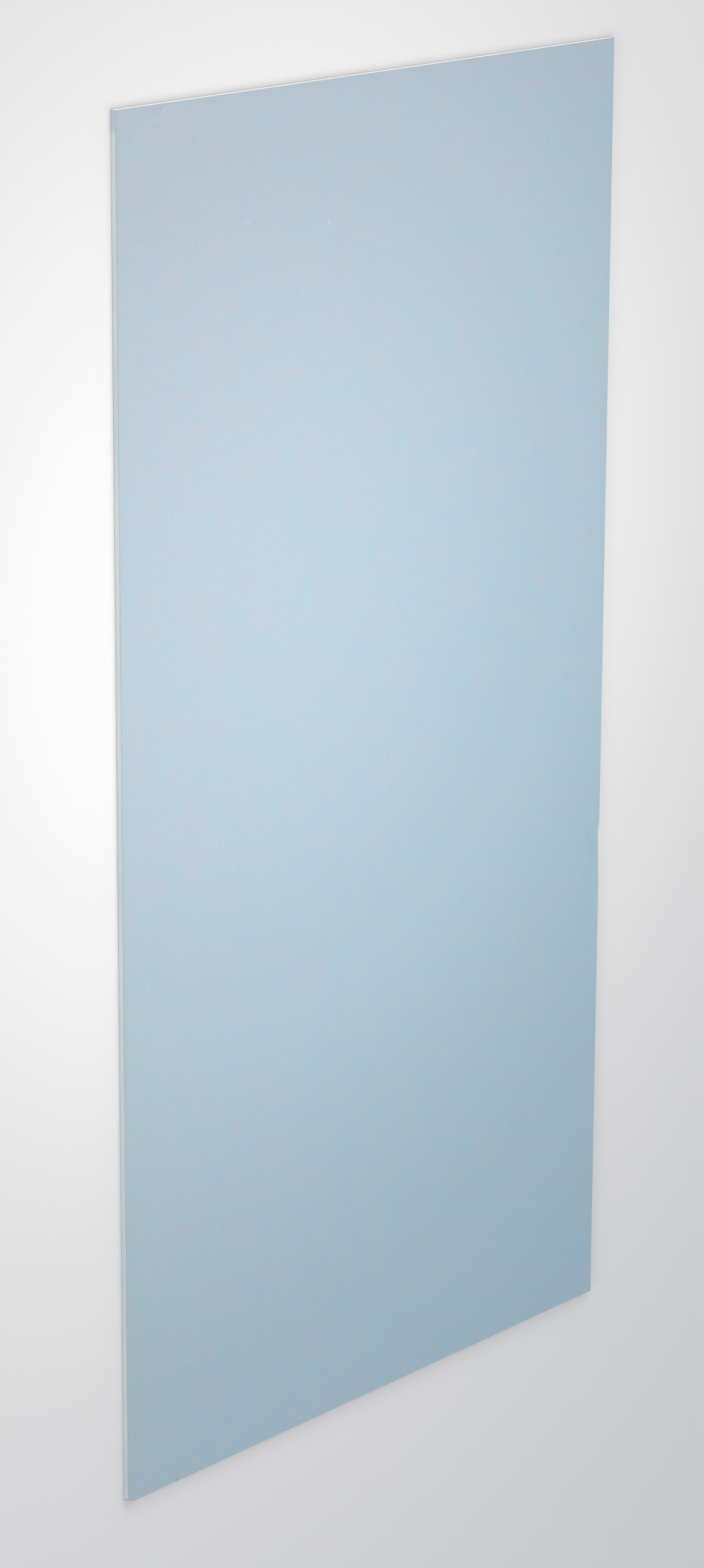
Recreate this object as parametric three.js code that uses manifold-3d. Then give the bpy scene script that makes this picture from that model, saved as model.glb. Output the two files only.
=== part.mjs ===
// Gypsum plasterboard: one full sheet with square long edges, lying flat on its back with the blue face up.
// Millimetres, +Z up. X runs across the width, Y along the length and Z through the thickness.
// The origin is the middle of the underside, where the sheet rests.
//
// The sheet is three bonded pieces. A gypsum core is cast between two papers. The blue face paper covers the
// front, wraps both long edges and folds a little way onto the back. The back paper covers the rest of the
// back and laps over the folds. Both ends are cut, so they show the core between the papers.
import * as THREE from "three";
import { mergeVertices } from "three/addons/utils/BufferGeometryUtils.js";
import Module from "manifold-3d";

// The sheet
const sheetLength = 2400;
const sheetWidth = 1200;
const sheetThickness = 12.5;

// The papers
const facePaperThickness = 0.4;
const backPaperThickness = 0.4;
const foldWidth = 30; // from the long edge to where the face paper's fold ends on the back
const backPaperInset = 8; // from the long edge to the edge of the back paper

// The rounding of the core's long arrises. The paper that wraps it adds its own thickness.
const coreArrisRadius = 0.8;
const arrisSteps = 3;

// The knocked corners of the bottom end: how far each knock reaches across the end and up the long edge at
// the face, and how far up the long edge it still reaches at the back
const leftKnockAcross = 14;
const leftKnockAlong = 12.5;
const leftKnockAlongAtBack = 4.5;
const rightKnockAcross = 4;
const rightKnockAlong = 3;
const rightKnockAlongAtBack = 1.5;
const knockSteps = 5;
const cutterOverrun = 2; // how far a cutter runs out of the sheet

const facePaperColour = 0xb4c5d0;
const backPaperColour = 0xb9b2a6;
const gypsumColour = 0xf2f1ec;
const paperRoughness = 0.75;
const gypsumRoughness = 0.95;

const halfWidth = sheetWidth / 2;
const halfLength = sheetLength / 2;
const foldEnd = halfWidth - foldWidth;
const backPaperEdge = halfWidth - backPaperInset;
const quarterTurn = Math.PI / 2;

const wasm = await Module();
wasm.setup();

// The line at a given depth inside the face paper's outer surface: from the end of the left fold, round the
// left edge, across the front and round the right edge, to the end of the right fold. In a section, x runs
// across the sheet and y up through its thickness.
function facePaperLine(depth) {
  const arrisRadius = coreArrisRadius + facePaperThickness;
  const radius = arrisRadius - depth;
  const arrisX = halfWidth - arrisRadius;
  const lowArrisY = backPaperThickness + arrisRadius;
  const highArrisY = sheetThickness - arrisRadius;
  const foldY = backPaperThickness + depth;
  const line = new THREE.Path();
  line.moveTo(-foldEnd, foldY);
  line.lineTo(-arrisX, foldY);
  line.absarc(-arrisX, lowArrisY, radius, -quarterTurn, -2 * quarterTurn, true);
  line.absarc(-arrisX, highArrisY, radius, 2 * quarterTurn, quarterTurn, true);
  line.absarc(arrisX, highArrisY, radius, quarterTurn, 0, true);
  line.absarc(arrisX, lowArrisY, radius, 0, -quarterTurn, true);
  line.lineTo(foldEnd, foldY);
  return line.getPoints(arrisSteps);
}

// The face paper's section: its outer surface one way and its inner surface back.
function facePaperSection() {
  const outer = facePaperLine(0);
  const inner = facePaperLine(facePaperThickness).reverse();
  return new THREE.Shape([...outer, ...inner]);
}

// The core's section: it fills the face paper, and comes down onto the back paper between the two folds.
function coreSection() {
  const seatRight = new THREE.Vector2(foldEnd, backPaperThickness);
  const seatLeft = new THREE.Vector2(-foldEnd, backPaperThickness);
  return new THREE.Shape([...facePaperLine(facePaperThickness), seatRight, seatLeft]);
}

// The back paper's section: a flat strip that laps over both folds and stops short of the long edges.
function backPaperSection() {
  const section = new THREE.Shape();
  section.moveTo(-backPaperEdge, 0);
  section.lineTo(backPaperEdge, 0);
  section.lineTo(backPaperEdge, backPaperThickness);
  section.lineTo(-backPaperEdge, backPaperThickness);
  return section;
}

// A section run out along the whole length of the sheet.
function alongLength(section) {
  const run = new THREE.ExtrudeGeometry(section, { depth: sheetLength, bevelEnabled: false });
  return run.rotateX(quarterTurn).translate(0, halfLength, 0);
}

function toSolid(geometry) {
  const merged = mergeVertices(geometry.deleteAttribute("normal").deleteAttribute("uv"));
  return new wasm.Manifold(
    new wasm.Mesh({
      numProp: 3,
      vertProperties: merged.getAttribute("position").array,
      triVerts: new Uint32Array(merged.index.array),
    }),
  );
}

function toGeometry(solid) {
  const mesh = solid.getMesh();
  const geometry = new THREE.BufferGeometry();
  geometry.setAttribute("position", new THREE.BufferAttribute(mesh.vertProperties, 3));
  geometry.setIndex(new THREE.BufferAttribute(mesh.triVerts, 1));
  geometry.computeVertexNormals();
  return geometry;
}

// Draws a cutter in towards its corner, so that a knock that is full size at the face is smaller at the back.
function leanToFace(cutter, cornerX, backShare) {
  const position = cutter.getAttribute("position");
  for (let i = 0; i < position.count; i += 1) {
    const share = THREE.MathUtils.lerp(backShare, 1, position.getZ(i) / sheetThickness);
    position.setX(i, THREE.MathUtils.lerp(cornerX, position.getX(i), share));
    position.setY(i, THREE.MathUtils.lerp(-halfLength, position.getY(i), share));
  }
  return cutter;
}

// What a knock takes off a corner of the bottom end, right through the sheet: all that lies outside a
// quarter of an ellipse. side is -1 for the left long edge and 1 for the right one.
function knockedOff(side, across, along, alongAtBack) {
  const centreX = side * (halfWidth - across);
  const centreY = along - halfLength;
  const outsideX = side * (halfWidth + cutterOverrun);
  const outsideY = -halfLength - cutterOverrun;
  const isLeft = side < 0;
  const endAngle = isLeft ? -2 * quarterTurn : 0;
  const outline = new THREE.Shape();
  outline.moveTo(centreX, -halfLength);
  outline.absellipse(centreX, centreY, across, along, -quarterTurn, endAngle, isLeft);
  outline.lineTo(outsideX, centreY);
  outline.lineTo(outsideX, outsideY);
  outline.lineTo(centreX, outsideY);
  const cutter = new THREE.ExtrudeGeometry(outline, {
    depth: sheetThickness + 2 * cutterOverrun,
    bevelEnabled: false,
    curveSegments: knockSteps,
  });
  cutter.translate(0, 0, -cutterOverrun);
  return toSolid(leanToFace(cutter, side * halfWidth, alongAtBack / along));
}

const knocks = [
  knockedOff(-1, leftKnockAcross, leftKnockAlong, leftKnockAlongAtBack),
  knockedOff(1, rightKnockAcross, rightKnockAlong, rightKnockAlongAtBack),
];

// One named piece of the sheet, with the knocked corners cut from it.
function piece(name, section, colour, roughness) {
  let solid = toSolid(alongLength(section));
  for (const knock of knocks) {
    solid = solid.subtract(knock);
  }
  const material = new THREE.MeshStandardMaterial({ color: colour, roughness, metalness: 0 });
  const mesh = new THREE.Mesh(toGeometry(solid), material);
  mesh.name = name;
  return mesh;
}

const plasterboard = new THREE.Group();
plasterboard.name = "plasterboard";
plasterboard.add(piece("gypsum_core", coreSection(), gypsumColour, gypsumRoughness));
plasterboard.add(piece("face_paper", facePaperSection(), facePaperColour, paperRoughness));
plasterboard.add(piece("back_paper", backPaperSection(), backPaperColour, paperRoughness));

export default plasterboard;
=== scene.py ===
import math

import bmesh
import bpy
from mathutils import Matrix, Vector


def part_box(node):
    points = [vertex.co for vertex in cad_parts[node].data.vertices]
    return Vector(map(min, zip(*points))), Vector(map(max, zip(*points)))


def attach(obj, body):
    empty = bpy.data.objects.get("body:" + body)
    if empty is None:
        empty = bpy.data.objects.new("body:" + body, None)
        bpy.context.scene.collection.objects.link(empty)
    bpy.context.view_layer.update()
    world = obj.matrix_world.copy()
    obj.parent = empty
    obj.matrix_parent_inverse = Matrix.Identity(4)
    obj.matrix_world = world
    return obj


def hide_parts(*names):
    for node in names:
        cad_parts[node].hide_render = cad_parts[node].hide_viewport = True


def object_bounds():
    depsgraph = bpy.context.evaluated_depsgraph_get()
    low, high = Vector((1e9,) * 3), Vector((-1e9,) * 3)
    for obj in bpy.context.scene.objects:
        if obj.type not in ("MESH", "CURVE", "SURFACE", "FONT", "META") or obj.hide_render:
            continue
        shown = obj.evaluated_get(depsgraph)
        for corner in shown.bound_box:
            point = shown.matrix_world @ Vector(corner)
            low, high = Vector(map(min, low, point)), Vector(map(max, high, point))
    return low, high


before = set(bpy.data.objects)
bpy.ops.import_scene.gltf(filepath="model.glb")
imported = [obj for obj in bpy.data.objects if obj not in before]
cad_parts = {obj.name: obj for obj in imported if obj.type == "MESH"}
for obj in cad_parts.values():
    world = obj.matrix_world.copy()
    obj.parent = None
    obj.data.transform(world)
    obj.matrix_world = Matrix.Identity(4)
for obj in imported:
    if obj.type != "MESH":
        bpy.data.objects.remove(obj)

cad_low, cad_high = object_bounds()

# The camera
# The photograph looks down on the face from beyond its top left corner, with a long lens. Its upright
# lines are kept nearly parallel by a shifted lens, so the view aims below the sheet's middle.
camera_from = Vector((-5.04, 2.22, 4.85))
camera_at = Vector((-0.05, 0.52, 0.0))
camera_roll = math.radians(0.25)
photo_height_px = 2576
focal_length_px = 6905
sensor_mm = 36
lens_shift = -0.2

camera_data = bpy.data.cameras.new("camera")
camera_data.sensor_width = sensor_mm
camera_data.lens = focal_length_px * sensor_mm / photo_height_px
camera_data.shift_y = lens_shift
camera_data.clip_end = 100
camera = bpy.data.objects.new("camera", camera_data)
bpy.context.scene.collection.objects.link(camera)
forward = (camera_at - camera_from).normalized()
right = forward.cross(Vector((0, 1, 0))).normalized()
up = right.cross(forward)
aim = Matrix((right, up, -forward)).transposed().to_4x4()
camera.matrix_world = Matrix.Translation(camera_from) @ aim @ Matrix.Rotation(camera_roll, 4, "Z")
bpy.context.scene.camera = camera

# The studio
# A plain pale floor in a white room, whose walls are brighter than its ceiling. A soft lamp hangs over the
# upper left of the sheet, so that the face darkens towards its bottom right corner, and two wide ones far
# off light the left edge and the top end. A rise is the upward part of a direction, from -1 to 1.
floor_size = 60
floor_colour = (0.90, 0.885, 0.88, 1)
floor_roughness = 0.9
ceiling_light = 0.48
ceiling_rise = 0.75
wall_light = 1.50
wall_rise = -0.35
room_colour = (0.965, 1.0, 1.035, 1)
key_from = Vector((-0.21, 0.33, 1.05))
key_at = Vector((-0.21, 0.33, 0))
key_size = 1.6
key_power = 8.2
side_lamp_from = Vector((-7.5, -0.3, 3.0))
side_lamp_at = Vector((-0.6, 0, 0))
side_lamp_power = 100
end_lamp_from = Vector((-1.0, 7.5, 3.0))
end_lamp_at = Vector((0, 1.2, 0))
end_lamp_power = 120
far_lamp_size = 3.0
lamp_colour = (1.0, 0.985, 0.965)

bpy.context.scene.view_settings.view_transform = "Standard"

bpy.ops.mesh.primitive_plane_add(size=floor_size, location=(0, 0, 0))
floor = bpy.context.object
floor.name = "floor"
floor_material = bpy.data.materials.new("floor_paint")
floor_material.use_nodes = True
floor_shader = floor_material.node_tree.nodes["Principled BSDF"]
floor_shader.inputs["Base Color"].default_value = floor_colour
floor_shader.inputs["Roughness"].default_value = floor_roughness
floor.data.materials.append(floor_material)

room = bpy.data.worlds.new("room")
room.use_nodes = True
room_tree = room.node_tree
direction = room_tree.nodes.new("ShaderNodeTexCoord")
upward = room_tree.nodes.new("ShaderNodeSeparateXYZ")
wall_share = room_tree.nodes.new("ShaderNodeMapRange")
wall_share.interpolation_type = "SMOOTHERSTEP"
wall_share.inputs["From Min"].default_value = ceiling_rise
wall_share.inputs["From Max"].default_value = wall_rise
wall_share.inputs["To Min"].default_value = ceiling_light
wall_share.inputs["To Max"].default_value = wall_light
room_tree.links.new(direction.outputs["Generated"], upward.inputs["Vector"])
room_tree.links.new(upward.outputs["Z"], wall_share.inputs["Value"])
room_tree.links.new(wall_share.outputs["Result"], room_tree.nodes["Background"].inputs["Strength"])
room_tree.nodes["Background"].inputs["Color"].default_value = room_colour
bpy.context.scene.world = room


def add_soft_lamp(name, place, aim_at, size, power):
    lamp_data = bpy.data.lights.new(name, "AREA")
    lamp_data.shape = "DISK"
    lamp_data.size = size
    lamp_data.energy = power
    lamp_data.color = lamp_colour
    lamp = bpy.data.objects.new(name, lamp_data)
    lamp.location = place
    lamp.rotation_euler = (aim_at - place).to_track_quat("-Z", "Y").to_euler()
    lamp.visible_camera = False
    bpy.context.scene.collection.objects.link(lamp)


add_soft_lamp("key_lamp", key_from, key_at, key_size, key_power)
add_soft_lamp("side_lamp", side_lamp_from, side_lamp_at, far_lamp_size, side_lamp_power)
add_soft_lamp("end_lamp", end_lamp_from, end_lamp_at, far_lamp_size, end_lamp_power)

# The gypsum core
# Wet gypsum is cast between the two papers on a moving belt, sets hard, and is cut to length with a blade.
# Both ends therefore show it bare: white, finely grained and pitted. It has crumbled at the knocked corners.
core_low, core_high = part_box("gypsum_core")
sheet_thickness = cad_high.z
half_width = cad_high.x
half_length = cad_high.y
fold_width = 0.030
paper_thickness = 0.0004
core_arris = 0.0008
core_arris_steps = 3
smooth_below = math.radians(40)
point_slack = 0.00001

# How far in from the end the blade's cut lies, at its highest grains
core_cut_inset = 0.00005
blade_grid = 0.0008
blade_reach = 0.0144
blade_overhang = 0.010
blade_thickness = 0.02
grain_size = 0.0022
grain_depth = 0.00032
ripple_size = 0.011
ripple_depth = 0.00022
pore_spacing = 0.0035
pore_depth = 0.0005
sliver_width = 0.000001

# The knocked bottom corners: side, reach across, reach along, and how much of it is left at the back
core_knocks = (
    (-1, 0.0140, 0.0125, 0.36),
    (1, 0.0040, 0.0030, 0.50),
)
crumble_size = 0.0032
crumble_depth = 0.0016

# The dent in the right long edge: where it starts, is deepest and ends, going down the sheet
dent_start = -0.2560
dent_deepest = -0.2765
dent_end = -0.3900
dent_depth = 0.0027
dent_sink = 0.0009
dent_spread = 0.034
dent_share_at_back = 0.45
dent_rows = 5

# The bruise round the left knock, where the face is pressed down
bruise_reach = 0.024
bruise_depth = 0.0007
bruise_rows = 16


def select_parts(piece, kind, wanted):
    """In edit mode, leaves only the wanted verts, edges or faces of the piece selected."""
    bpy.ops.mesh.select_mode(type={"verts": "VERT", "edges": "EDGE", "faces": "FACE"}[kind])
    bpy.ops.mesh.select_all(action="DESELECT")
    mesh = bmesh.from_edit_mesh(piece.data)
    for part in getattr(mesh, kind):
        if wanted(part):
            part.select_set(True)
    bmesh.update_edit_mesh(piece.data)


def cut_rows(places, axis):
    """In edit mode, cuts the whole piece across at each place along the axis, and keeps both sides."""
    for place in places:
        bpy.ops.mesh.select_all(action="SELECT")
        bpy.ops.mesh.bisect(plane_co=axis * place, plane_no=axis)


def steps_between(first, last, count):
    return [first + (last - first) * i / count for i in range(count + 1)]


def runs_along_sheet(edge, x, *heights):
    """Whether an edge lies lengthwise at this distance from the middle line and at one of these heights."""
    start, end = (point.co for point in edge.verts)
    off_side = max(abs(abs(start.x) - x), abs(abs(end.x) - x))
    off_height = min(max(abs(start.z - z), abs(end.z - z)) for z in heights)
    return max(off_side, off_height) < point_slack and abs(start.y - end.y) > point_slack


def displace(piece, name, group, direction, strength, texture=None):
    """Moves the group's points along one axis, as far as their weights and the texture say."""
    modifier = piece.modifiers.new(name, "DISPLACE")
    modifier.texture = texture
    modifier.texture_coords = "LOCAL"
    modifier.direction = direction
    modifier.strength = strength
    modifier.mid_level = 0
    modifier.vertex_group = group
    bpy.context.view_layer.objects.active = piece
    bpy.ops.object.modifier_apply(modifier=name)


def weight_points(piece, name, weight_at):
    """A vertex group in which each point of the piece has the weight of its place."""
    group = piece.vertex_groups.new(name=name)
    for point in piece.data.vertices:
        weight = weight_at(point.co)
        if weight > 0:
            group.add([point.index], weight, "REPLACE")


def smooth_step(share):
    share = min(max(share, 0), 1)
    return share * share * (3 - 2 * share)


def dent_weight(place):
    """How much of the dent's full depth a point of the right long edge takes."""
    if place.y > dent_deepest:
        along = smooth_step((dent_start - place.y) / (dent_start - dent_deepest))
    else:
        along = smooth_step((place.y - dent_end) / (dent_deepest - dent_end))
    inward = max(1 - (half_width - place.x) / dent_spread, 0) ** 2
    height = dent_share_at_back + (1 - dent_share_at_back) * place.z / sheet_thickness
    return along * inward * height


def sink_weight(place):
    """The dent's weight, fading out down to the middle of the thickness."""
    return dent_weight(place) * smooth_step(place.z / sheet_thickness * 2 - 1)


def dent_right_edge(piece):
    """Pushes the right long edge in, and its front arris down a little."""
    weight_points(piece, "dent", dent_weight)
    displace(piece, "dent_in", "dent", "X", -dent_depth)
    weight_points(piece, "sink", sink_weight)
    displace(piece, "dent_down", "sink", "Z", -dent_sink)


def bruise_weight(place):
    """How near a point is to the knocked left corner, from 1 at the corner to 0 at the bruise's reach."""
    off = math.hypot(place.x + half_width, place.y + half_length)
    return smooth_step(1 - off / bruise_reach) * smooth_step(place.z / sheet_thickness * 2 - 0.6)


def bruise_left_corner(piece):
    """Presses the face down round the knocked left corner."""
    weight_points(piece, "bruise", bruise_weight)
    displace(piece, "pressed_down", "bruise", "Z", -bruise_depth)


def knock_weight(place, knock, deepest):
    """How far up the sheet a knocked corner reaches at a place on the end, as a share of the deepest."""
    side, across, along, share_at_back = knock
    share = share_at_back + (1 - share_at_back) * min(max(place.z / sheet_thickness, 0), 1)
    left = (half_width - side * place.x) / (across * share)
    if left >= 1:
        return 0
    arc = 1 - math.sqrt(1 - (1 - max(left, 0)) ** 2)
    return arc * along * share / deepest


def add_blade(name, end, inset, columns, rows, knocks):
    """A slab to cut one end of the sheet off with: end is 1 for the top and -1 for the bottom. Its inner
    face is a fine grid that stands just inside the end, drawn further in at the knocked corners."""
    bpy.ops.object.select_all(action="DESELECT")
    bpy.ops.mesh.primitive_grid_add(
        x_subdivisions=columns,
        y_subdivisions=rows,
        size=1,
        location=(0, end * (half_length - inset), sheet_thickness / 2),
        rotation=(math.radians(90), 0, 0),
    )
    blade = bpy.context.object
    blade.name = name
    blade.scale = (2 * (half_width + blade_overhang), blade_reach, 1)
    bpy.ops.object.transform_apply(location=True, rotation=True, scale=True)
    bpy.ops.object.mode_set(mode="EDIT")
    bpy.ops.mesh.select_all(action="SELECT")
    bpy.ops.mesh.extrude_region_move(TRANSFORM_OT_translate={"value": (0, end * blade_thickness, 0)})
    bpy.ops.mesh.select_all(action="SELECT")
    bpy.ops.mesh.normals_make_consistent(inside=False)
    bpy.ops.object.mode_set(mode="OBJECT")
    weight_points(blade, "inner_face", lambda place: 1 if abs(place.y) < half_length else 0)
    if end < 0:
        for knock in knocks:
            deepest = knock[2]
            side_name = "knock_left" if knock[0] < 0 else "knock_right"
            weight_points(
                blade,
                side_name,
                lambda place: knock_weight(place, knock, deepest) if abs(place.y) < half_length else 0,
            )
            displace(blade, side_name + "_depth", side_name, "Y", deepest)
    return blade


def clear_slivers(piece):
    """Makes the piece all triangles, and takes off the flat slivers that a cut leaves folded on an arris."""
    bpy.ops.object.mode_set(mode="EDIT")
    bpy.ops.mesh.select_all(action="SELECT")
    bpy.ops.mesh.remove_doubles(threshold=sliver_width)
    bpy.ops.mesh.quads_convert_to_tris()
    select_parts(piece, "faces", lambda face: any(edge.is_boundary for edge in face.edges))
    bpy.ops.mesh.delete(type="FACE")
    bpy.ops.object.mode_set(mode="OBJECT")


def cut_end(piece, blade):
    bpy.ops.object.select_all(action="DESELECT")
    cut = piece.modifiers.new("cut", "BOOLEAN")
    cut.operation = "DIFFERENCE"
    cut.solver = "MANIFOLD"
    cut.object = blade
    bpy.context.view_layer.objects.active = piece
    bpy.ops.object.modifier_apply(modifier="cut")
    piece.data.materials.clear()
    bpy.data.objects.remove(blade, do_unlink=True)
    clear_slivers(piece)


grain_texture = bpy.data.textures.new("gypsum_grain", "CLOUDS")
grain_texture.noise_scale = grain_size
grain_texture.noise_depth = 2
ripple_texture = bpy.data.textures.new("gypsum_ripple", "CLOUDS")
ripple_texture.noise_scale = ripple_size
crumble_texture = bpy.data.textures.new("gypsum_crumble", "CLOUDS")
crumble_texture.noise_scale = crumble_size
crumble_texture.noise_depth = 3
pore_texture = bpy.data.textures.new("gypsum_pores", "VORONOI")
pore_texture.noise_scale = pore_spacing
pore_texture.use_color_ramp = True
pore_texture.color_ramp.elements[0].position = 0.10
pore_texture.color_ramp.elements[0].color = (1, 1, 1, 1)
pore_texture.color_ramp.elements[1].position = 0.22
pore_texture.color_ramp.elements[1].color = (0, 0, 0, 1)

# The body: a slab that stands on the folds of the face paper, with its middle let down between them
bpy.ops.object.select_all(action="DESELECT")
slab_low = core_low + Vector((0, 0, paper_thickness))
slab_size = core_high - slab_low
bpy.ops.mesh.primitive_cube_add(size=1, location=(slab_low + core_high) / 2)
core = bpy.context.object
core.name = "cast_gypsum"
core.scale = slab_size
bpy.ops.object.transform_apply(location=True, rotation=True, scale=True)
bpy.ops.object.mode_set(mode="EDIT")
cut_rows((fold_width - half_width, half_width - fold_width), Vector((1, 0, 0)))
select_parts(
    core,
    "faces",
    lambda face: face.normal.z < -0.9 and abs(face.calc_center_median().x) < half_width - fold_width,
)
bpy.ops.mesh.extrude_region_move(TRANSFORM_OT_translate={"value": (0, 0, -paper_thickness)})
cut_rows(steps_between(half_width - dent_spread, half_width - dent_spread / 4, 3), Vector((1, 0, 0)))
cut_rows(steps_between(dent_start, dent_deepest, dent_rows), Vector((0, 1, 0)))
cut_rows(steps_between(dent_deepest, dent_end, 3 * dent_rows)[1:], Vector((0, 1, 0)))
cut_rows(steps_between(bruise_reach - half_width, 0.002 - half_width, bruise_rows), Vector((1, 0, 0)))
cut_rows(steps_between(bruise_reach - half_length, 0.001 - half_length, bruise_rows), Vector((0, 1, 0)))
select_parts(
    core,
    "edges",
    lambda edge: runs_along_sheet(edge, core_high.x, core_high.z, slab_low.z),
)
bpy.ops.mesh.bevel(offset=core_arris, segments=core_arris_steps, affect="EDGES")
bpy.ops.object.mode_set(mode="OBJECT")
dent_right_edge(core)
bruise_left_corner(core)

# Both ends cut, with the grain and pores that the blade opens
blade_columns = round(2 * (half_width + blade_overhang) / blade_grid)
blade_rows = round(blade_reach / blade_grid)
for end in (1, -1):
    blade = add_blade("gypsum_blade", end, core_cut_inset, blade_columns, blade_rows, core_knocks)
    displace(blade, "grain", "inner_face", "Y", -end * grain_depth, grain_texture)
    displace(blade, "ripple", "inner_face", "Y", -end * ripple_depth, ripple_texture)
    displace(blade, "pores", "inner_face", "Y", -end * pore_depth, pore_texture)
    if end < 0:
        displace(blade, "crumble", "knock_left", "Y", crumble_depth, crumble_texture)
    cut_end(core, blade)
bpy.ops.object.shade_smooth_by_angle(angle=smooth_below)


def add_node(tree, kind, inputs=None, **settings):
    """One node of a shader tree. inputs gives its sockets a value each, or another node's output."""
    node = tree.nodes.new(kind)
    for name, value in settings.items():
        setattr(node, name, value)
    for socket, value in (inputs or {}).items():
        if isinstance(value, bpy.types.NodeSocket):
            tree.links.new(value, node.inputs[socket])
        else:
            node.inputs[socket].default_value = value
    return node


def math_node(tree, operation, first, second=0.0, clamp=False):
    node = add_node(tree, "ShaderNodeMath", {0: first, 1: second}, operation=operation, use_clamp=clamp)
    return node.outputs[0]


def mix_colours(tree, amount, first, second, blend="MIX"):
    inputs = {0: amount, 6: first, 7: second}
    node = add_node(tree, "ShaderNodeMix", inputs, data_type="RGBA", blend_type=blend)
    return node.outputs[2]


def map_range(tree, value, from_low, from_high, to_low=0.0, to_high=1.0):
    inputs = {
        "Value": value,
        "From Min": from_low,
        "From Max": from_high,
        "To Min": to_low,
        "To Max": to_high,
    }
    return add_node(tree, "ShaderNodeMapRange", inputs).outputs["Result"]


def noise(tree, place, scale, detail=2.0, roughness=0.5):
    inputs = {"Vector": place, "Scale": scale, "Detail": detail, "Roughness": roughness}
    return add_node(tree, "ShaderNodeTexNoise", inputs).outputs["Fac"]


def add_bump(tree, shader, height, strength, distance):
    """Roughens a shader's surface by a height that varies over it."""
    inputs = {"Height": height, "Strength": strength, "Distance": distance}
    bump = add_node(tree, "ShaderNodeBump", inputs)
    tree.links.new(bump.outputs["Normal"], shader.inputs["Normal"])


def new_group(name, inputs, outputs):
    """An empty shader node group with these named sockets, and its input and output nodes."""
    group = bpy.data.node_groups.new(name, "ShaderNodeTree")
    for socket_name, kind, default in inputs:
        socket = group.interface.new_socket(name=socket_name, in_out="INPUT", socket_type=kind)
        if default is not None:
            socket.default_value = default
    for socket_name, kind in outputs:
        group.interface.new_socket(name=socket_name, in_out="OUTPUT", socket_type=kind)
    return group, group.nodes.new("NodeGroupInput"), group.nodes.new("NodeGroupOutput")


def place_group(tree, group, inputs):
    node = tree.nodes.new("ShaderNodeGroup")
    node.node_tree = group
    for socket, value in inputs.items():
        if isinstance(value, bpy.types.NodeSocket):
            tree.links.new(value, node.inputs[socket])
        else:
            node.inputs[socket].default_value = value
    return node


def new_material(name):
    """A material with its shader, its tree and the Object coordinates of the piece."""
    material = bpy.data.materials.new(name)
    material.use_nodes = True
    tree = material.node_tree
    coordinates = tree.nodes.new("ShaderNodeTexCoord")
    return material, tree, tree.nodes["Principled BSDF"], coordinates


def mineral_grain():
    """Fine mineral surface: a tone that varies round 1, and a height for the bump."""
    group, given, result = new_group(
        "mineral_grain",
        [
            ("Place", "NodeSocketVector", None),
            ("Grain Scale", "NodeSocketFloat", 1500.0),
            ("Tone Spread", "NodeSocketFloat", 0.05),
        ],
        [("Tone", "NodeSocketFloat"), ("Height", "NodeSocketFloat")],
    )
    fine = noise(group, given.outputs["Place"], given.outputs["Grain Scale"], 3.0, 0.6)
    patches = noise(group, given.outputs["Place"], 90.0, 2.0)
    both = math_node(group, "ADD", fine, math_node(group, "MULTIPLY", patches, 0.6))
    centred = math_node(group, "SUBTRACT", both, 0.8)
    tone = math_node(group, "ADD", math_node(group, "MULTIPLY", centred, given.outputs["Tone Spread"]), 1.0)
    group.links.new(tone, result.inputs["Tone"])
    group.links.new(fine, result.inputs["Height"])
    return group


gypsum_colour = (0.89, 0.88, 0.85, 1)
gypsum_roughness = 0.95
# The rims of the cut ends, darker next to each paper and lilac by the back paper: colour, where each starts
# and is full, and how strong it is
rim_by_front = (0.50, 0.51, 0.52, 1)
front_rim_start = 0.0008
front_rim_full = 0.0002
front_rim_strength = 0.7
rim_by_wrap = (0.34, 0.35, 0.36, 1)
side_rim_start = 0.0012
side_rim_full = 0.0003
side_rim_strength = 0.8
rim_by_back_paper = (0.57, 0.46, 0.57, 1)
back_rim_start = 0.0013
back_rim_full = 0.0005
back_rim_strength = 0.85
soiled_colour = (0.50, 0.465, 0.475, 1)
soil_reach = 0.022
mineral_grain_group = mineral_grain()
gypsum, tree, shader, coordinates = new_material("gypsum")
grain = place_group(tree, mineral_grain_group, {"Place": coordinates.outputs["Object"], "Tone Spread": 0.12})
axes = add_node(tree, "ShaderNodeSeparateXYZ", {0: coordinates.outputs["Object"]})
facing = add_node(tree, "ShaderNodeSeparateXYZ", {0: coordinates.outputs["Normal"]})
on_end = map_range(tree, math_node(tree, "ABSOLUTE", facing.outputs["Y"]), 0.3, 0.6)
height = axes.outputs["Z"]
across = math_node(tree, "ABSOLUTE", axes.outputs["X"])
by_front = map_range(tree, height, core_high.z - front_rim_start, core_high.z - front_rim_full)
by_side = map_range(tree, across, core_high.x - side_rim_start, core_high.x - side_rim_full)
by_back = map_range(tree, height, core_low.z + back_rim_start, core_low.z + back_rim_full)
front_rim = math_node(tree, "MULTIPLY", by_front, on_end)
side_rim = math_node(tree, "MULTIPLY", by_side, on_end)
back_rim = math_node(tree, "MULTIPLY", by_back, on_end)
colour = mix_colours(tree, 1.0, gypsum_colour, grain.outputs["Tone"], "MULTIPLY")
for rim, strength, rim_tone in (
    (front_rim, front_rim_strength, rim_by_front),
    (side_rim, side_rim_strength, rim_by_wrap),
    (back_rim, back_rim_strength, rim_by_back_paper),
):
    colour = mix_colours(tree, math_node(tree, "MULTIPLY", rim, strength), colour, rim_tone)
from_corner = add_node(
    tree,
    "ShaderNodeVectorMath",
    {0: coordinates.outputs["Object"], 1: (-half_width, -half_length, 0)},
    operation="DISTANCE",
)
soil_patches = map_range(tree, noise(tree, coordinates.outputs["Object"], 260.0, 2.0), 0.3, 0.6, 0.55, 1.0)
near_corner = map_range(tree, from_corner.outputs["Value"], soil_reach, soil_reach * 0.6)
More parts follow.
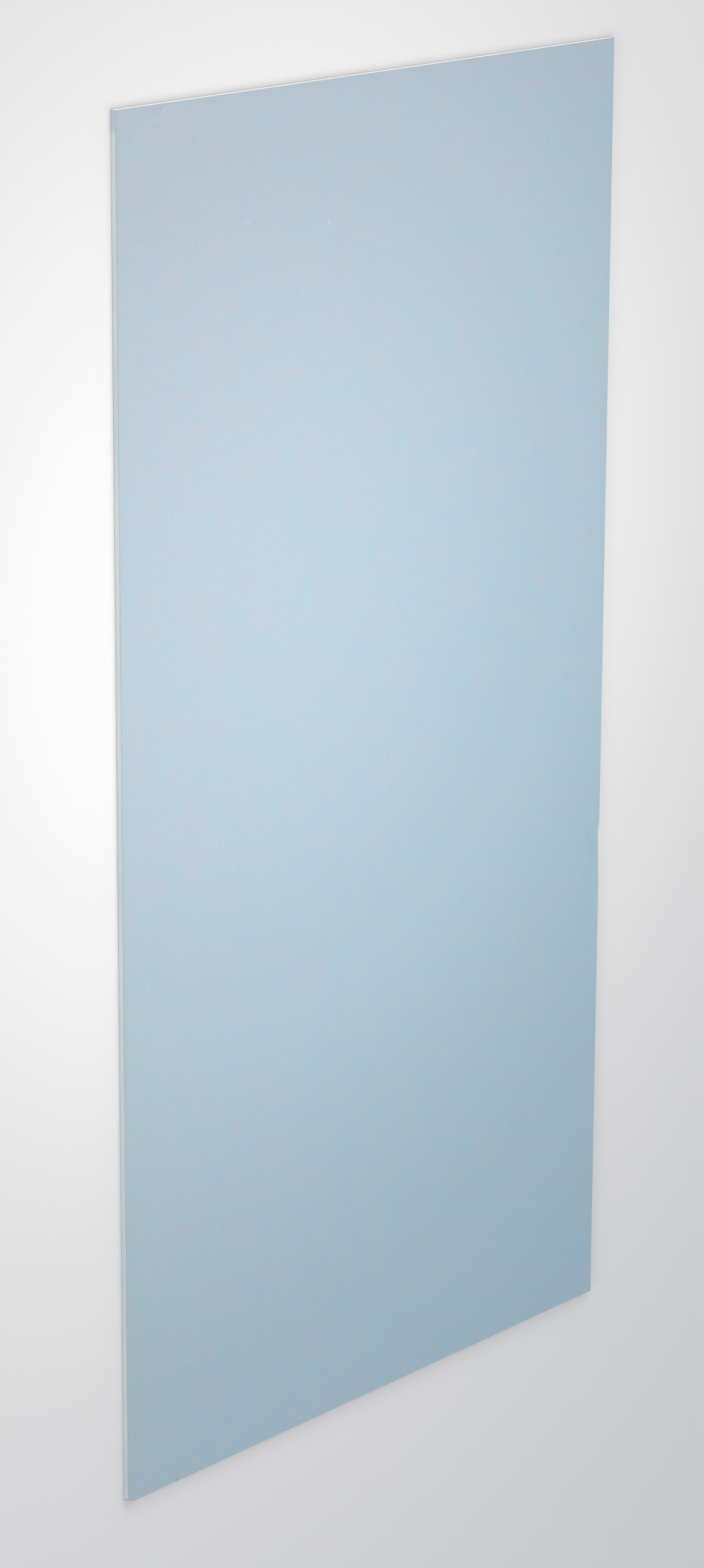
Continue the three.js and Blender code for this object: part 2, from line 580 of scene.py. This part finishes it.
colour = mix_colours(tree, math_node(tree, "MULTIPLY", near_corner, soil_patches), colour, soiled_colour)
tree.links.new(colour, shader.inputs["Base Color"])
shader.inputs["Roughness"].default_value = gypsum_roughness
add_bump(tree, shader, grain.outputs["Height"], 0.8, 0.0003)
core.data.materials.append(gypsum)
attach(core, "root")
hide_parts("gypsum_core")

# The face paper
# Pale blue liner board, made of several plies of recycled fibre. It covers the front, wraps both long edges
# and folds a little way onto the back. The wet gypsum grew into its inner side, and holds it without glue.
paper_low, paper_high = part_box("face_paper")
paper_arris = core_arris + paper_thickness
paper_arris_steps = 4
paper_cut_inset = 0.00002
ragged_size = 0.0016
ragged_depth = 0.00022
paper_blade_rows = 12

# The paper has torn a little further up the left edge than the gypsum behind it
paper_knocks = (
    (-1, 0.0142, 0.0134, 0.38),
    (1, 0.0042, 0.0032, 0.50),
)
tear_size = 0.0024
tear_depth = 0.0008

# Fine creases in the paper over the bruise
crease_size = 0.006
crease_depth = 0.00025

bpy.ops.object.select_all(action="DESELECT")
bpy.ops.mesh.primitive_plane_add(size=1, location=(0, 0, paper_high.z))
face = bpy.context.object
face.name = "face_liner"
face.scale = (paper_high.x - paper_low.x, paper_high.y - paper_low.y, 1)
bpy.ops.object.transform_apply(location=True, rotation=True, scale=True)
bpy.ops.object.mode_set(mode="EDIT")
wrap_height = paper_high.z - paper_low.z
select_parts(face, "edges", lambda edge: runs_along_sheet(edge, paper_high.x, paper_high.z))
bpy.ops.mesh.extrude_edges_move(TRANSFORM_OT_translate={"value": (0, 0, -wrap_height)})
for side in (-1, 1):
    select_parts(
        face,
        "edges",
        lambda edge: runs_along_sheet(edge, paper_high.x, paper_low.z) and edge.verts[0].co.x * side > 0,
    )
    bpy.ops.mesh.extrude_edges_move(TRANSFORM_OT_translate={"value": (-side * fold_width, 0, 0)})
cut_rows(steps_between(half_width - dent_spread, half_width - dent_spread / 8, 7), Vector((1, 0, 0)))
cut_rows(steps_between(dent_start, dent_deepest, 2 * dent_rows), Vector((0, 1, 0)))
cut_rows(steps_between(dent_deepest, dent_end, 5 * dent_rows)[1:], Vector((0, 1, 0)))
cut_rows(steps_between(bruise_reach - half_width, 0.002 - half_width, bruise_rows), Vector((1, 0, 0)))
cut_rows(steps_between(bruise_reach - half_length, 0.001 - half_length, bruise_rows), Vector((0, 1, 0)))
select_parts(
    face,
    "edges",
    lambda edge: runs_along_sheet(edge, paper_high.x, paper_high.z, paper_low.z),
)
bpy.ops.mesh.bevel(offset=paper_arris, segments=paper_arris_steps, affect="EDGES")
bpy.ops.mesh.select_all(action="SELECT")
bpy.ops.mesh.normals_make_consistent(inside=False)
bpy.ops.object.mode_set(mode="OBJECT")
dent_right_edge(face)
bruise_left_corner(face)
crease_texture = bpy.data.textures.new("paper_creases", "CLOUDS")
crease_texture.noise_scale = crease_size
displace(face, "creased", "bruise", "Z", -crease_depth, crease_texture)

thickness = face.modifiers.new("thickness", "SOLIDIFY")
thickness.thickness = paper_thickness
thickness.offset = -1
thickness.use_even_offset = True
bpy.context.view_layer.objects.active = face
bpy.ops.object.modifier_apply(modifier="thickness")

ragged_texture = bpy.data.textures.new("ragged_paper", "CLOUDS")
ragged_texture.noise_scale = ragged_size
ragged_texture.noise_depth = 2
tear_texture = bpy.data.textures.new("torn_paper", "CLOUDS")
tear_texture.noise_scale = tear_size
tear_texture.noise_depth = 3
for end in (1, -1):
    blade = add_blade("paper_blade", end, paper_cut_inset, blade_columns, paper_blade_rows, paper_knocks)
    displace(blade, "ragged", "inner_face", "Y", -end * ragged_depth, ragged_texture)
    if end < 0:
        displace(blade, "torn", "knock_left", "Y", tear_depth, tear_texture)
    cut_end(face, blade)
bpy.ops.object.shade_smooth_by_angle(angle=smooth_below)


def paper_fibres():
    """Liner board seen close: cloudy formation, long fibres down the sheet, and a height for the bump."""
    group, given, result = new_group(
        "paper_fibres",
        [
            ("Place", "NodeSocketVector", None),
            ("Fibre Spread", "NodeSocketFloat", 0.10),
            ("Cloud Spread", "NodeSocketFloat", 0.20),
        ],
        [("Tone", "NodeSocketFloat"), ("Height", "NodeSocketFloat")],
    )
    place = given.outputs["Place"]
    drawn = add_node(group, "ShaderNodeMapping", {"Vector": place, "Scale": (1.0, 0.3, 1.0)})
    fibres = noise(group, drawn.outputs[0], 1300.0, 3.0, 0.65)
    crossed = add_node(group, "ShaderNodeMapping", {"Vector": place, "Scale": (0.4, 1.0, 1.0)})
    cross_fibres = noise(group, crossed.outputs[0], 900.0, 2.0, 0.6)
    clouds = noise(group, place, 300.0, 3.0, 0.6)
    both = math_node(group, "ADD", fibres, cross_fibres)
    fibre_tone = math_node(
        group, "MULTIPLY", math_node(group, "SUBTRACT", both, 1.0), given.outputs["Fibre Spread"]
    )
    cloud_tone = math_node(
        group, "MULTIPLY", math_node(group, "SUBTRACT", clouds, 0.5), given.outputs["Cloud Spread"]
    )
    tone = math_node(group, "ADD", math_node(group, "ADD", fibre_tone, cloud_tone), 1.0)
    group.links.new(tone, result.inputs["Tone"])
    group.links.new(both, result.inputs["Height"])
    return group


def soft_mark():
    """The mask of one mark, such as a scuff, a stain or a patch of painted shade: an ellipse at a place on
    the sheet, with a soft rim.
    """
    group, given, result = new_group(
        "soft_mark",
        [
            ("Place", "NodeSocketVector", None),
            ("Centre", "NodeSocketVector", (0, 0, 0)),
            ("Turn", "NodeSocketVector", (0, 0, 0)),
            ("Reach", "NodeSocketVector", (0.01, 0.01, 1)),
            ("Solid To", "NodeSocketFloat", 0.5),
            ("Strength", "NodeSocketFloat", 1.0),
        ],
        [("Mask", "NodeSocketFloat")],
    )
    local = add_node(
        group,
        "ShaderNodeMapping",
        {
            "Vector": given.outputs["Place"],
            "Location": given.outputs["Centre"],
            "Rotation": given.outputs["Turn"],
            "Scale": given.outputs["Reach"],
        },
        vector_type="TEXTURE",
    )
    off = add_node(group, "ShaderNodeVectorMath", {0: local.outputs[0]}, operation="LENGTH")
    solid_to = given.outputs["Solid To"]
    mask = map_range(group, off.outputs["Value"], 1.0, solid_to, 0.0, given.outputs["Strength"])
    group.links.new(mask, result.inputs["Mask"])
    return group


def all_marks(tree, group, place, marks):
    """One mask of many marks, seen straight down on the sheet, so that a mark also runs over its edge."""
    total = 0.0
    for x, y, half_long, half_wide, turn, solid_to, strength in marks:
        given = {
            "Place": place,
            "Centre": (x, y, 0),
            "Turn": (0, 0, math.radians(turn)),
            "Reach": (half_long, half_wide, 1),
            "Solid To": solid_to,
            "Strength": strength,
        }
        total = math_node(tree, "MAXIMUM", total, place_group(tree, group, given).outputs["Mask"])
    return total


def shaken_place(tree, place, scale, depth):
    """Flat places on the sheet, each shifted a little by a noise, so that the rim of a mark is broken."""
    inputs = {"Vector": place, "Scale": scale, "Detail": 1.0}
    shift = add_node(tree, "ShaderNodeTexNoise", inputs).outputs["Color"]
    shift = add_node(tree, "ShaderNodeVectorMath", {0: shift, 1: (0.5, 0.5, 0.5)}, operation="SUBTRACT")
    inputs = {0: shift.outputs[0], 1: (depth, depth, depth), 2: place}
    shaken = add_node(tree, "ShaderNodeVectorMath", inputs, operation="MULTIPLY_ADD")
    inputs = {0: shaken.outputs[0], 1: (1, 1, 0)}
    flattened = add_node(tree, "ShaderNodeVectorMath", inputs, operation="MULTIPLY")
    return flattened.outputs[0]


# The face is painted a greyer blue towards its top left corner and a clearer blue towards its bottom right:
# a painted sheen, the gloss of the paper catching the white room.
sheen_grey_blue = (0.482, 0.551, 0.620, 1)
face_clear_blue = (0.413, 0.571, 0.679, 1)
towards_top_left = (-0.81, 0.59, 0)
sheen_reach = 1.19
face_pink_cast = (1.035, 0.995, 0.985, 1)
face_cyan_cast = (0.955, 1.01, 1.01, 1)
beside_edge_colour = (0.46, 0.555, 0.61, 1)
wrapped_blue_colour = (0.54, 0.60, 0.645, 1)
wrapped_grey_colour = (0.60, 0.65, 0.65, 1)
wrapped_top_colour = (0.47, 0.545, 0.60, 1)
blue_top_start = 0.042
blue_top_full = 0.030
arris_shade_colour = (0.40, 0.46, 0.47, 1)
cut_paper_colour = (0.30, 0.31, 0.32, 1)
scuff_colour = (0.74, 0.76, 0.76, 1)
dirt_and_shade_colour = (0.30, 0.30, 0.31, 1)
rim_colour = (0.57, 0.50, 0.57, 1)

# Marks: across, along, half length, half width, turn in degrees, share that is solid, strength
pale_marks = (
    (-0.4957, 1.1873, 0.0052, 0.0019, 35, 0.3, 0.55),
    (-0.4900, 1.1925, 0.0090, 0.0040, 35, 0.1, 0.16),
    (-0.5107, 1.1743, 0.0060, 0.0014, 5, 0.2, 0.30),
    (-0.5150, 1.1760, 0.0130, 0.0070, 20, 0.1, 0.12),
    (-0.3089, 0.9835, 0.0024, 0.0040, 0, 0.3, 0.45),
    (-0.1202, 0.9618, 0.0020, 0.0020, 0, 0.6, 0.70),
    (0.0677, -0.1567, 0.0019, 0.0019, 0, 0.6, 0.60),
    (0.0389, -0.2290, 0.0019, 0.0019, 0, 0.6, 0.65),
    (0.5572, -0.3031, 0.0030, 0.0045, 0, 0.2, 0.22),
    (0.5990, -0.3200, 0.0022, 0.0550, 0, 0.3, 0.35),
)
dark_marks = (
    (-0.0329, -0.0613, 0.0014, 0.0014, 0, 0.5, 0.20),
    # The next two marks, round the dent, are painted shade of the face pressed in there; the others are
    # dirt.
    (0.5655, -0.2860, 0.0048, 0.0125, 0, 0.0, 0.24),
    (0.5800, -0.3050, 0.0170, 0.0500, 0, 0.0, 0.08),
    (-0.4845, -1.1960, 0.0016, 0.0042, 0, 0.5, 0.80),
    (-0.4855, -1.1870, 0.0013, 0.0110, 0, 0.3, 0.25),
    (0.5985, -1.1978, 0.0034, 0.0026, 30, 0.3, 0.75),
)

paper_fibres_group = paper_fibres()
soft_mark_group = soft_mark()
blue_paper, tree, shader, coordinates = new_material("blue_paper")
place = coordinates.outputs["Object"]
axes = add_node(tree, "ShaderNodeSeparateXYZ", {0: place})
across = math_node(tree, "ABSOLUTE", axes.outputs["X"])
height = axes.outputs["Z"]
facing = add_node(tree, "ShaderNodeSeparateXYZ", {0: coordinates.outputs["Normal"]})
cast = noise(tree, place, 22.0, 3.0, 0.55)
cast_colour = mix_colours(tree, map_range(tree, cast, 0.35, 0.65), face_cyan_cast, face_pink_cast)
# Painted sheen: the greyer blue takes over towards the top left corner.
inputs = {0: place, 1: towards_top_left}
towards_corner = add_node(tree, "ShaderNodeVectorMath", inputs, operation="DOT_PRODUCT")
painted_sheen_share = map_range(tree, towards_corner.outputs["Value"], -sheen_reach, sheen_reach)
colour = mix_colours(tree, painted_sheen_share, face_clear_blue, sheen_grey_blue)
colour = mix_colours(tree, 1.0, colour, cast_colour, "MULTIPLY")
on_wrap = map_range(tree, height, sheet_thickness - 0.0006, sheet_thickness - 0.0016)
beside_edge = map_range(tree, across, half_width - 0.011, half_width - 0.002, 0.0, 0.8)
colour = mix_colours(tree, beside_edge, colour, beside_edge_colour)
wrap_patches = map_range(tree, noise(tree, place, 3.0, 2.0), 0.40, 0.55)
wrapped = mix_colours(tree, wrap_patches, wrapped_blue_colour, wrapped_grey_colour)
along = axes.outputs["Y"]
by_top_end = map_range(tree, along, half_length - blue_top_start, half_length - blue_top_full)
wrapped = mix_colours(tree, by_top_end, wrapped, wrapped_top_colour)
colour = mix_colours(tree, on_wrap, colour, wrapped)
# Painted shade: a thin dark line along the left front arris, of uneven strength.
near_left = map_range(tree, axes.outputs["X"], 0.0016 - half_width, 0.0005 - half_width)
near_right = map_range(tree, axes.outputs["X"], half_width - 0.0020, half_width - 0.0005, 0.0, 0.45)
near_top = map_range(tree, height, sheet_thickness - 0.0020, sheet_thickness - 0.0008)
uneven = map_range(tree, noise(tree, place, 60.0, 3.0), 0.35, 0.6, 0.55, 0.95)
arris_shade = math_node(tree, "MULTIPLY", math_node(tree, "MULTIPLY", near_left, near_top), uneven)
colour = mix_colours(tree, arris_shade, colour, arris_shade_colour)
colour = mix_colours(tree, math_node(tree, "MULTIPLY", near_right, uneven), colour, rim_colour)
fibres = place_group(tree, paper_fibres_group, {"Place": place})
colour = mix_colours(tree, 1.0, colour, fibres.outputs["Tone"], "MULTIPLY")
flat_place = shaken_place(tree, place, 600.0, 0.0016)
scuffs = all_marks(tree, soft_mark_group, flat_place, pale_marks)
colour = mix_colours(tree, scuffs, colour, scuff_colour)
# Dirt, and painted shade round the dent in the right long edge.
dirt_and_dent_shade = all_marks(tree, soft_mark_group, flat_place, dark_marks)
colour = mix_colours(tree, dirt_and_dent_shade, colour, dirt_and_shade_colour)
from_bottom = math_node(tree, "ADD", along, half_length)
rim_noise = math_node(tree, "MULTIPLY", noise(tree, place, 130.0, 3.0), 0.0030)
rim = map_range(tree, math_node(tree, "ADD", from_bottom, rim_noise), 0.0034, 0.0012, 0.0, 0.7)
colour = mix_colours(tree, rim, colour, rim_colour)
on_cut = map_range(tree, math_node(tree, "ABSOLUTE", facing.outputs["Y"]), 0.5, 0.7)
colour = mix_colours(tree, on_cut, colour, cut_paper_colour)
tree.links.new(colour, shader.inputs["Base Color"])
gloss = map_range(tree, noise(tree, place, 45.0, 2.0), 0.3, 0.7, 0.72, 0.82)
tree.links.new(gloss, shader.inputs["Roughness"])
add_bump(tree, shader, fibres.outputs["Height"], 0.35, 0.00012)
face.data.materials.append(blue_paper)
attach(face, "root")
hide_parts("face_paper")

# The back paper
# Plain grey liner board. It is laid over the two folds of the face paper while the gypsum is wet, and glued
# to them, and its two slit edges stop short of the long edges of the sheet.
back_low, back_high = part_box("back_paper")
slit_step = 0.006
slit_wave_size = 0.05
slit_wave_depth = 0.0012

bpy.ops.object.select_all(action="DESELECT")
bpy.ops.mesh.primitive_cube_add(size=1, location=(back_low + back_high) / 2)
back = bpy.context.object
back.name = "back_liner"
back.scale = back_high - back_low
bpy.ops.object.transform_apply(location=True, rotation=True, scale=True)
bpy.ops.object.mode_set(mode="EDIT")
slit_rows = round(2 * half_length / slit_step)
cut_rows(steps_between(-half_length, half_length, slit_rows)[1:-1], Vector((0, 1, 0)))
bpy.ops.object.mode_set(mode="OBJECT")
slit_texture = bpy.data.textures.new("slit_wander", "CLOUDS")
slit_texture.noise_scale = slit_wave_size
slit_texture.noise_depth = 4
for side in (-1, 1):
    name = "left_slit" if side < 0 else "right_slit"
    weight_points(back, name, lambda place: 1 if place.x * side > 0 else 0)
    displace(back, name + "_wander", name, "X", -side * slit_wave_depth, slit_texture)
for end in (1, -1):
    blade = add_blade("back_blade", end, paper_cut_inset, blade_columns, paper_blade_rows, core_knocks)
    displace(blade, "ragged", "inner_face", "Y", -end * ragged_depth, ragged_texture)
    cut_end(back, blade)

back_colour = (0.49, 0.45, 0.39, 1)
back_speck_dark = (0.25, 0.24, 0.23, 1)
back_cut_colour = (0.33, 0.25, 0.34, 1)
grey_paper, tree, shader, coordinates = new_material("grey_paper")
place = coordinates.outputs["Object"]
facing = add_node(tree, "ShaderNodeSeparateXYZ", {0: coordinates.outputs["Normal"]})
fibres = place_group(tree, paper_fibres_group, {"Place": place, "Fibre Spread": 0.16, "Cloud Spread": 0.26})
colour = mix_colours(tree, 1.0, back_colour, fibres.outputs["Tone"], "MULTIPLY")
specks = add_node(tree, "ShaderNodeTexVoronoi", {"Vector": place, "Scale": 240.0}).outputs["Distance"]
speck_share = map_range(tree, specks, 0.10, 0.04, 0.0, 0.6)
colour = mix_colours(tree, speck_share, colour, back_speck_dark)
on_cut = map_range(tree, math_node(tree, "ABSOLUTE", facing.outputs["Y"]), 0.5, 0.7)
colour = mix_colours(tree, on_cut, colour, back_cut_colour)
tree.links.new(colour, shader.inputs["Base Color"])
gloss = map_range(tree, noise(tree, place, 60.0, 2.0), 0.3, 0.7, 0.80, 0.90)
tree.links.new(gloss, shader.inputs["Roughness"])
add_bump(tree, shader, fibres.outputs["Height"], 0.5, 0.00015)
back.data.materials.append(grey_paper)
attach(back, "root")
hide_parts("back_paper")
